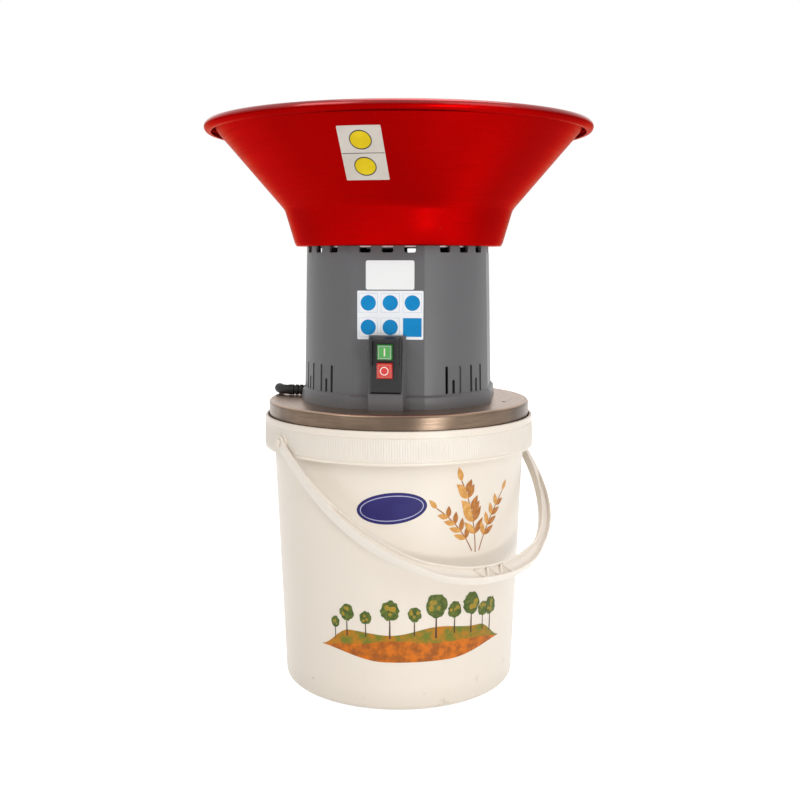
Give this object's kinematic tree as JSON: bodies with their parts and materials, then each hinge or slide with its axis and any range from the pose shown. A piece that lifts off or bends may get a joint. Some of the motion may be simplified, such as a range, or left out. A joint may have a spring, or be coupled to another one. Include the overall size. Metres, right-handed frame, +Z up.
{
  "type": "grain mill",
  "caption": "Electric grain mill: red flared hopper on a grey motor housing and steel lid, standing on a white pail with a bail handle.",
  "frame": {"origin": "centre of the pail's foot, on the surface it stands on", "axes": "+Z up along the mill's axis; the switch faces -Y; +X to the right of someone facing the switch"},
  "size_m": [0.4219, 0.4515, 0.6188],
  "materials": {
    "pail_plastic": "off-white moulded polypropylene",
    "bail_plastic": "off-white moulded plastic",
    "lid_steel": "circularly brushed stainless steel",
    "black_rubber": "black rubber",
    "housing_plastic": "grey moulded plastic, fine satin",
    "switch_plastic": "black plastic",
    "start_green": "green plastic cap",
    "stop_red": "red plastic cap",
    "cord_rubber": "black rubber sheath",
    "plug_plastic": "black moulded plug",
    "plated_steel": "nickel-plated steel",
    "hopper_red": "red powder coat outside, bare steel inside",
    "sheet_steel": "bare sheet steel",
    "chute_plastic": "black plastic chute",
    "knob_plastic": "black plastic knob",
    "die_cast": "die-cast aluminium",
    "bearing_steel": "ground bearing steel",
    "lamination": "varnished electrical steel laminations",
    "copper_winding": "varnished copper wire",
    "black_bakelite": "black moulded bracket",
    "brass": "stamped brass",
    "carbon": "carbon graphite",
    "capacitor_yellow": "yellow film capacitor",
    "machined_steel": "turned steel",
    "fan_plastic": "black moulded fan"
  },
  "bodies": {
    "pail": {"pail": "pail_plastic"},
    "bail": {"bail_handle": "bail_plastic"},
    "mill": {"lid_plate": "lid_steel", "lid_gasket": "black_rubber", "motor_housing": "housing_plastic", "switch_frame": "switch_plastic", "cord_boot": "cord_rubber", "power_cord": "cord_rubber", "cord_coil": "cord_rubber", "plug_lead": "cord_rubber", "power_plug": "plug_plastic", "plug_pins": "plated_steel", "hopper": "hopper_red", "hopper_floor": "sheet_steel", "hopper_screws": "plated_steel", "support_ring": "sheet_steel", "feed_chute": "chute_plastic", "lower_end_bell": "die_cast", "lower_bearing": "bearing_steel", "shaft_seal": "black_rubber", "stator_core": "lamination", "field_coils": "copper_winding", "upper_end_bell": "black_bakelite", "upper_bearing": "bearing_steel", "brush_holders": "brass", "carbon_brushes": "carbon", "motor_bolts": "plated_steel", "suppressor": "capacitor_yellow", "screen": "sheet_steel", "screen_plate": "sheet_steel", "screen_studs": "plated_steel", "wing_nuts": "plated_steel", "housing_screws": "plated_steel"},
    "rotor": {"motor_shaft": "machined_steel", "armature_core": "lamination", "armature_windings": "copper_winding", "commutator": "copper_winding", "cooling_fan": "fan_plastic", "blade_spacer": "machined_steel", "hammer_blade": "machined_steel", "blade_nut": "plated_steel"},
    "start_button": {"start_button": "start_green"},
    "stop_button": {"stop_button": "stop_red"},
    "shutter": {"feed_shutter": "sheet_steel", "shutter_knob": "knob_plastic"}
  },
  "joints": [
    {"name": "bail_swing", "type": "hinge", "parent": "pail", "child": "bail", "pos_m": [0, 0, 0.281], "axis": [-0.7431, -0.6691, 0], "range_deg": [0, 90]},
    {"name": "mill_lift", "type": "slide", "parent": "pail", "child": "mill", "axis": [0, 0, 1], "range_m": [0, 0.2]},
    {"name": "motor_spin", "type": "hinge", "parent": "mill", "child": "rotor", "pos_m": [0, 0, 0.4], "axis": [0, 0, 1], "continuous": true},
    {"name": "start_push", "type": "slide", "parent": "mill", "child": "start_button", "axis": [0, 1, 0], "range_m": [0, 0.003], "stiffness_N_per_m": 600},
    {"name": "stop_push", "type": "slide", "parent": "mill", "child": "stop_button", "axis": [0, 1, 0], "range_m": [0, 0.003], "stiffness_N_per_m": 600},
    {"name": "shutter_pull", "type": "slide", "parent": "mill", "child": "shutter", "axis": [0, 1, 0], "range_m": [0, 0.03]}
  ]
}
